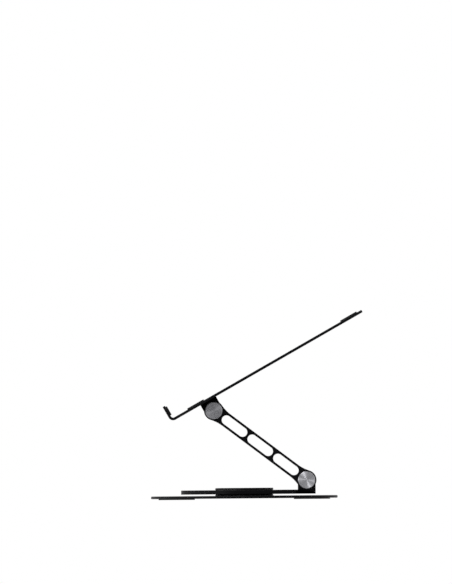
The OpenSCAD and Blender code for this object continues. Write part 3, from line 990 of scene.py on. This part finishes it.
def make_pivot(level, pivot, body):
    """The hardware of the lower or the upper pivot, on both sides."""
    outwards, inwards = ALONG_X, ALONG_X.inverted()

    def add(piece, bm, x, turn, slot):
        place = Matrix.Translation((x, pivot.y, pivot.z)) @ turn
        both_sides(f"{level}_{piece}", bm, place, body, slot)

    arm_face = high("arm_right").x
    bolt = pivot_bolt(arm_face - low(f"{level}_bolt_right").x)
    add("bolt", bolt, arm_face, outwards, "black_oxide")
    add("cap", pivot_cap(), arm_face, outwards, "spun_aluminium")
    add("washer", pivot_washer(), HALF_FRAME, outwards, "nylon")
    add("spring", pivot_spring(), high(f"{level}_spring_right").x, inwards, "spring_steel")
    add("nut", pivot_nut(), high(f"{level}_nut_right").x, inwards, "black_oxide")


# ---- Tray and its brackets ----


def bracket_screw_points(sides):
    """Where a bracket's two screws are, on the right (1), the left (-1) or both."""
    half_gap = BRACKET_SCREW_GAP / 2
    return [(side * BRACKET_SCREW_X, y) for side in sides for y in (-half_gap, half_gap)]


def tray_plate():
    """The flat pattern with two tabs in front, which are then bent up into the lips."""
    fold = TRAY_FRONT - LIP_BEND_R - TRAY_T
    tip = fold + flat_length(LIP_BEND_R, TRAY_T) + LIP_H - LIP_BEND_R - TRAY_T
    inner, outer = LIP_X - LIP_W / 2, LIP_X + LIP_W / 2
    right = [
        (inner, FRONT_EDGE, LIP_NOOK_R),
        (inner, -tip, LIP_CORNER_R),
        (outer, -tip, LIP_CORNER_R),
        (outer, FRONT_EDGE, LIP_NOOK_R),
        (HALF_TRAY, FRONT_EDGE, FRONT_CORNER_R),
        (HALF_TRAY, TRAY_REAR, TRAY_CORNER_R),
    ]
    profile = quarter_round(TRAY_EDGE, 0, TRAY_T)
    loops = [(rounded(right + mirrored(right), TRAY_CORNER_STEPS), profile)]
    vent_l = TRAY_REAR - VENT_MARGIN - VENT_FRONT
    vent = turned_upright(stadium(vent_l, VENT_W))
    for i in range(VENT_N):
        x = (i - (VENT_N - 1) / 2) * VENT_PITCH
        loops.append((moved(vent, x, VENT_FRONT + vent_l / 2), profile))
    sink = countersunk_hole(BRACKET_SCREW, 0, TRAY_T)
    bm = slab(loops + screw_holes(BRACKET_SCREW, bracket_screw_points((-1, 1)), sink))
    bend_up(bm, -fold * REAR, -REAR, LIP_BEND_R, TRAY_T)
    return bm


def bracket():
    """The flat pattern bent up, then turned over, so that its end points down."""
    fold = HALF_FRAME - BRACKET_BEND_R - BRACKET_T
    drop = TRAY_DROP - BRACKET_BEND_R - BRACKET_T
    pivot = fold + flat_length(BRACKET_BEND_R, BRACKET_T) + drop
    foot_end = HALF_FRAME - BRACKET_FOOT
    half = BRACKET_W / 2
    corners = [
        (foot_end, -half, BRACKET_CORNER_R),
        (pivot + half, -half, ROUND_END * BRACKET_W),
        (pivot + half, half, ROUND_END * BRACKET_W),
        (foot_end, half, BRACKET_CORNER_R),
    ]
    profile = quarter_round(PLATE_EDGE, 0, BRACKET_T)
    loops = [(rounded(corners, TRAY_CORNER_STEPS), profile)]
    loops.append((circle(pivot, 0, BOLT_D + 2 * RUN_CLEAR), profile))
    bm = slab(loops + screw_holes(BRACKET_SCREW, bracket_screw_points((1,)), profile))
    bend_up(bm, fold * RIGHT, RIGHT, BRACKET_BEND_R, BRACKET_T)
    bmesh.ops.transform(bm, matrix=Matrix.Scale(-1, 4, UP), verts=bm.verts)
    return bm


def round_pad(length, width, thickness):
    """A stadium-shaped pad with a soft upper edge."""
    profile = [(0, 0, 0)]
    for angle in quarter_turn(PAD_STEPS):
        inset = PAD_EDGE * (1 - math.cos(angle))
        z = thickness - PAD_EDGE + PAD_EDGE * math.sin(angle)
        profile.append((inset, z, math.sin(2 * angle)))
    return slab([(stadium(length, width), profile)])


def make_tray():
    finished("tray_plate", tray_plate(), ON_TRAY, "tray", "black_steel")
    both_sides("bracket", bracket(), ON_TRAY, "tray", "black_steel")
    screw_points = bracket_screw_points((-1, 1))
    places = [Matrix.Translation((x, y, TRAY_T)) for x, y in screw_points]
    screws = screw_group(BRACKET_SCREW, TRAY_T + BRACKET_T, places)
    finished("bracket_screws", screws, ON_TRAY, "tray", "black_oxide")


def make_pads():
    rear_y = TRAY_REAR - REAR_PAD_MARGIN - PAD_W / 2
    for end, y in (("front", -FRONT_PAD_REACH), ("rear", rear_y)):
        place = ON_TRAY @ Matrix.Translation((PAD_X, y, TRAY_T))
        both_sides(f"tray_pad_{end}", round_pad(PAD_L, PAD_W, PAD_T), place, "tray", "rubber")
    height = LIP_H - LIP_PAD_EDGE - LIP_PAD_H / 2
    facing_rear = Matrix.Rotation(math.radians(-90), 4, "X")
    place = ON_TRAY @ Matrix.Translation((LIP_X, TRAY_T - TRAY_FRONT, height)) @ facing_rear
    pad = round_pad(LIP_W - 2 * LIP_PAD_EDGE, LIP_PAD_H, LIP_PAD_T)
    both_sides("lip_pad", pad, place, "tray", "rubber")


# ---- Camera: a level side view from +X ----

VIEW_HEIGHT = 0.6015  # what the picture takes in from top to bottom
CAMERA_DISTANCE = 2
AIM = Vector((0, -0.0171, 0.2138))  # the point in the middle of the picture
ROLL = math.radians(0.485)  # the photo is turned by this much


def make_camera():
    data = bpy.data.cameras.new("camera")
    data.type = "ORTHO"
    data.ortho_scale = VIEW_HEIGHT
    camera = bpy.data.objects.new("camera", data)
    bpy.context.scene.collection.objects.link(camera)
    camera.location = AIM + CAMERA_DISTANCE * RIGHT
    level = (-RIGHT).to_track_quat("-Z", "Y")
    camera.rotation_mode = "QUATERNION"
    camera.rotation_quaternion = level @ Quaternion(UP, -ROLL)
    bpy.context.scene.camera = camera


# ---- Studio: a white room with soft lamps over a pale floor ----

WHITE = (1, 1, 1, 1)
FILL_LIGHT = 0.42  # strength of the white room as a light
LAMP_AIM = Vector((0, 0, 0.1))
FLOOR_REACH = 4
FLOOR_COLOUR = (0.5, 0.5, 0.5, 1)
FLOOR_GLOW = 0.55  # added to the lit floor near the stand, for viewing_rays only
FLOOR_LIT_R = 0.3  # up to here the floor is lit and keeps the shadow
FLOOR_WHITE_R = 1.2  # from here on it is plain white


def viewing_rays(tree):
    """1 for rays from the camera, off something glossy or through glass, and 0 for the rest."""
    rays = add_node(tree, "ShaderNodeLightPath").outputs
    total = rays["Is Camera Ray"]
    for other in ("Is Glossy Ray", "Is Transmission Ray"):
        inputs = {0: total, 1: rays[other]}
        total = add_node(tree, "ShaderNodeMath", inputs, use_clamp=True).outputs[0]
    return total


def make_world():
    """White for the camera, and in reflections and through glass; softer as a light."""
    world = bpy.data.worlds.new("studio")
    world.use_nodes = True
    bpy.context.scene.world = world
    tree = world.node_tree
    strength = add_node(tree, "ShaderNodeMix", {"Factor": viewing_rays(tree), "A": FILL_LIGHT, "B": 1})
    background = tree.nodes["Background"]
    put(tree, background.inputs["Color"], WHITE)
    put(tree, background.inputs["Strength"], strength.outputs["Result"])


def softbox(name, at, width, height, brightness):
    """A soft area light aimed at the stand; the camera doesn't see it. Its brightness is
    its power over pi times its area, so that a larger lamp isn't a dimmer one."""
    data = bpy.data.lights.new(name, "AREA")
    data.shape = "RECTANGLE"
    data.size = width
    data.size_y = height
    data.energy = brightness * math.pi * width * height
    lamp = bpy.data.objects.new(name, data)
    bpy.context.scene.collection.objects.link(lamp)
    lamp.location = at
    lamp.rotation_euler = (LAMP_AIM - Vector(at)).to_track_quat("-Z", "Y").to_euler()
    lamp.visible_camera = False


def make_lights():
    softbox("side", at=(0.9, -0.9, 0.15), width=0.25, height=0.2, brightness=26)
    softbox("top_front", at=(0.9, -0.35, 0.95), width=0.35, height=0.35, brightness=27)
    softbox("overhead", at=(0.8, -0.6, 0.8), width=1.8, height=0.35, brightness=2.4)
    softbox("left", at=(0.1, -1.3, 0.2), width=1.4, height=0.36, brightness=4)
    softbox("right", at=(0.3, 1.3, 0.5), width=0.5, height=0.5, brightness=2)


def pale_floor():
    """Lit near the stand, so that it keeps the shadow, and plain white far away."""
    material = bpy.data.materials.new("floor")
    material.use_nodes = True
    tree = material.node_tree
    tree.nodes.remove(tree.nodes["Principled BSDF"])
    seen = viewing_rays(tree)
    share = add_node(tree, "ShaderNodeMath", {0: seen, 1: FLOOR_GLOW}, operation="MULTIPLY")
    glow = add_node(tree, "ShaderNodeEmission", {"Strength": share.outputs[0]})
    lit = add_node(tree, "ShaderNodeBsdfDiffuse", {"Color": FLOOR_COLOUR})
    near = add_node(tree, "ShaderNodeAddShader", {0: lit.outputs[0], 1: glow.outputs[0]})
    white = add_node(tree, "ShaderNodeEmission", {"Strength": seen})
    point = add_node(tree, "ShaderNodeTexCoord").outputs["Object"]
    distance = add_node(tree, "ShaderNodeVectorMath", {0: point}, operation="LENGTH")
    inputs = {"Value": distance.outputs["Value"], "From Min": FLOOR_LIT_R, "From Max": FLOOR_WHITE_R}
    far = add_node(tree, "ShaderNodeMapRange", inputs)
    inputs = {0: far.outputs["Result"], 1: near.outputs[0], 2: white.outputs[0]}
    floor = add_node(tree, "ShaderNodeMixShader", inputs)
    put(tree, tree.nodes["Material Output"].inputs["Surface"], floor.outputs[0])
    return material


def make_floor():
    mesh = bpy.data.meshes.new("floor")
    reach = FLOOR_REACH
    corners = [(-reach, -reach, 0), (reach, -reach, 0), (reach, reach, 0), (-reach, reach, 0)]
    mesh.from_pydata(corners, [], [(0, 1, 2, 3)])
    floor = bpy.data.objects.new("floor", mesh)
    bpy.context.scene.collection.objects.link(floor)
    mesh.materials.append(pale_floor())


make_camera()
make_foot_and_turntable()
make_frame()
make_arms()
make_pivot("lower", LOWER, "swivel_frame")
make_pivot("upper", UPPER, "upper_pivots")
make_tray()
make_pads()
make_world()
make_lights()
make_floor()
bpy.context.scene.view_settings.view_transform = "Standard"
